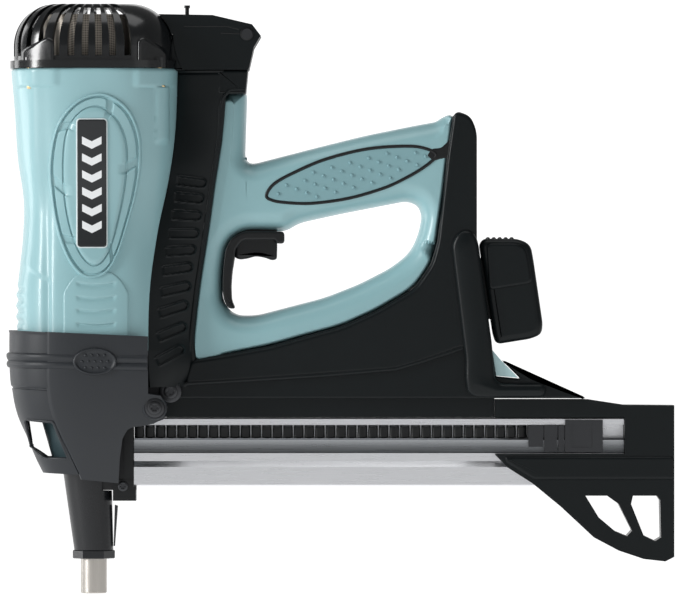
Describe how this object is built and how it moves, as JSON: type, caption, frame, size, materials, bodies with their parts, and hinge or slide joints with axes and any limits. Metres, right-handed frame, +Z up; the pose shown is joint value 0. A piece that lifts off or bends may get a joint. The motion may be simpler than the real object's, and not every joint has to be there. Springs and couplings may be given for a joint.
{
  "type": "gas-actuated strip nailer",
  "caption": "Gas-actuated strip nailer for concrete: louvred head, tall barrel housing, looped handle, battery tail, long nail magazine with a foot, tubular muzzle.",
  "frame": {"origin": "centre of the muzzle tube's end face, on the drive axis", "axes": "+Z up the drive axis towards the head, +X towards the magazine's tail, -Y the tool's left side"},
  "size_m": [0.4406, 0.1104, 0.3876],
  "materials": {
    "teal_shell": "satin",
    "teal_pad": "matte",
    "teal_grille": "satin",
    "black_shell": "satin",
    "black_trim": "satin",
    "dark_skirt": "matte",
    "black_cast": "satin",
    "steel": "brushed",
    "dark_fasteners": "satin",
    "brass": "satin",
    "aluminium": "brushed",
    "screen_mesh": "satin",
    "rubber": "matte",
    "motor": "satin",
    "fan_plastic": "satin",
    "fuel_can": "gloss",
    "valve_plastic": "satin",
    "board": "satin"
  },
  "bodies": {
    "tool": {"battery_contacts": "brass", "bracket_screws": "dark_fasteners", "bumper": "rubber", "cap_screws": "brass", "circuit_board": "board", "cylinder": "aluminium", "cylinder_base": "aluminium", "cylinder_head": "aluminium", "door_hinge_pin": "dark_fasteners", "fan_motor": "motor", "filter_screen": "screen_mesh", "front_housing": "teal_shell", "fuel_cell": "fuel_can", "fuel_valve": "valve_plastic", "grip_pad_left": "teal_pad", "grip_pad_right": "teal_pad", "handle_left": "teal_shell", "handle_liner": "black_trim", "handle_right": "teal_shell", "head_cap": "black_shell", "magazine_bracket": "black_cast", "magazine_rail": "aluminium", "magazine_tail": "black_shell", "main_bolt": "dark_fasteners", "nail_strip": "steel", "nose_collar": "black_cast", "nose_cone": "black_cast", "nose_guide": "steel", "nose_spring": "steel", "rail_cover": "black_shell", "rear_cover_left": "black_shell", "rear_cover_right": "black_shell", "retainer_clip": "steel", "skirt_band": "black_trim", "skirt_front": "dark_skirt", "skirt_screws": "dark_fasteners", "skirt_side_left": "dark_skirt", "skirt_side_right": "dark_skirt", "spark_plug": "steel", "tail_grille": "teal_grille", "tail_guard_left": "black_shell", "tail_guard_right": "black_shell", "tail_housing_left": "black_shell", "tail_housing_right": "black_shell", "trigger_spring": "steel", "trigger_switch": "fan_plastic"},
    "nose": {"muzzle_tube": "steel", "push_lever": "steel", "combustion_chamber": "aluminium"},
    "piston_unit": {"piston": "aluminium", "piston_rings": "steel", "driver_blade": "steel"},
    "fan": {"fan_wheel": "fan_plastic", "fan_shaft": "steel"},
    "trigger_unit": {"trigger": "black_trim"},
    "door": {"fuel_door": "black_shell", "door_knob": "black_trim"},
    "battery_unit": {"battery": "black_shell"},
    "latch_unit": {"battery_latch": "black_trim"},
    "feeder_unit": {"feeder": "dark_fasteners"}
  },
  "joints": [
    {"name": "nose_push", "type": "slide", "parent": "tool", "child": "nose", "axis": [0, 0, 1], "range_m": [0, 0.0212], "stiffness_N_per_m": 1500, "springref_m": -0.02, "deforming": ["nose_spring"]},
    {"name": "piston_stroke", "type": "slide", "parent": "tool", "child": "piston_unit", "axis": [0, 0, 1], "range_m": [-0.092, 0]},
    {"name": "fan_spin", "type": "hinge", "parent": "tool", "child": "fan", "pos_m": [0, 0, 0.304], "axis": [0, 0, 1], "continuous": true},
    {"name": "trigger_pull", "type": "slide", "parent": "tool", "child": "trigger_unit", "axis": [0, 0, 1], "range_m": [0, 0.006], "stiffness_N_per_m": 500, "springref_m": -0.006, "deforming": ["trigger_spring"]},
    {"name": "fuel_door_hinge", "type": "hinge", "parent": "tool", "child": "door", "pos_m": [0.1011, 0, 0.3678], "axis": [0, 1, 0], "range_deg": [0, 95]},
    {"name": "battery_slide", "type": "slide", "parent": "tool", "child": "battery_unit", "axis": [0.989, 0, 0.1478], "range_m": [0, 0.06]},
    {"name": "battery_latch_press", "type": "slide", "parent": "battery_unit", "child": "latch_unit", "axis": [0, 0, -1], "range_m": [0, 0.002], "stiffness_N_per_m": 300, "springref_m": -0.004},
    {"name": "feeder_slide", "type": "slide", "parent": "tool", "child": "feeder_unit", "axis": [1, 0, 0], "range_m": [0, 0.014], "stiffness_N_per_m": 50, "springref_m": -0.15}
  ]
}
